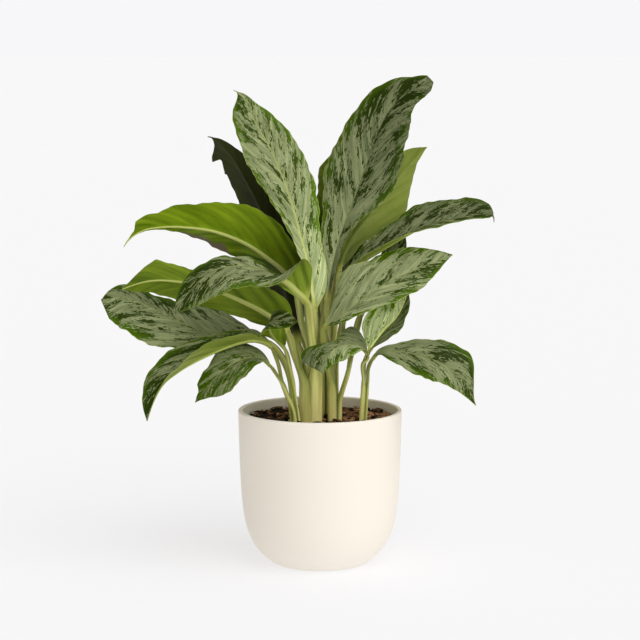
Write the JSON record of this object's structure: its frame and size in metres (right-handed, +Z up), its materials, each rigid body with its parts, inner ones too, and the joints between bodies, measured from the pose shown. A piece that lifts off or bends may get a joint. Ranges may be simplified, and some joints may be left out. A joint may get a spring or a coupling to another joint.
{
  "type": "potted dieffenbachia",
  "caption": "Leafy dieffenbachia in a plain round pot of soil: broad variegated leaves on sheathing stalks from upright shoots, standing on a flat foot.",
  "frame": {"origin": "centre of the pot's flat foot, on the surface it stands on", "axes": "+Z up, -Y towards the front of the plant, +X to the right seen from the front"},
  "size_m": [0.3804, 0.2596, 0.4732],
  "materials": {
    "pot": "matte cream",
    "soil": "rough dark bark and peat",
    "stalk": "smooth pale green, faintly streaked",
    "leaf": "satin green with silver-green marking above, plain yellow-green below"
  },
  "bodies": {
    "root": {"pot": "pot", "soil": "soil", "cane_centre_left": "stalk", "cane_centre_right": "stalk", "cane_left": "stalk", "cane_right": "stalk", "cane_back": "stalk", "stalk_01": "stalk", "leaf_01": "leaf", "stalk_02": "stalk", "leaf_02": "leaf", "stalk_03": "stalk", "leaf_03": "leaf", "stalk_04": "stalk", "leaf_04": "leaf", "stalk_05": "stalk", "leaf_05": "leaf", "stalk_06": "stalk", "leaf_06": "leaf", "stalk_07": "stalk", "leaf_07": "leaf", "stalk_08": "stalk", "leaf_08": "leaf", "stalk_09": "stalk", "leaf_09": "leaf", "stalk_10": "stalk", "leaf_10": "leaf", "stalk_11": "stalk", "leaf_11": "leaf", "stalk_12": "stalk", "leaf_12": "leaf", "stalk_13": "stalk", "leaf_13": "leaf", "stalk_14": "stalk", "leaf_14": "leaf", "stalk_15": "stalk", "leaf_15": "leaf", "stalk_16": "stalk", "leaf_16": "leaf", "stalk_17": "stalk", "leaf_17": "leaf", "stalk_18": "stalk", "leaf_18": "leaf", "stalk_19": "stalk", "leaf_19": "leaf", "stalk_20": "stalk", "leaf_20": "leaf", "stalk_21": "stalk", "leaf_21": "leaf", "stalk_22": "stalk", "leaf_22": "leaf", "stalk_23": "stalk", "leaf_23": "leaf"}
  },
  "joints": []
}
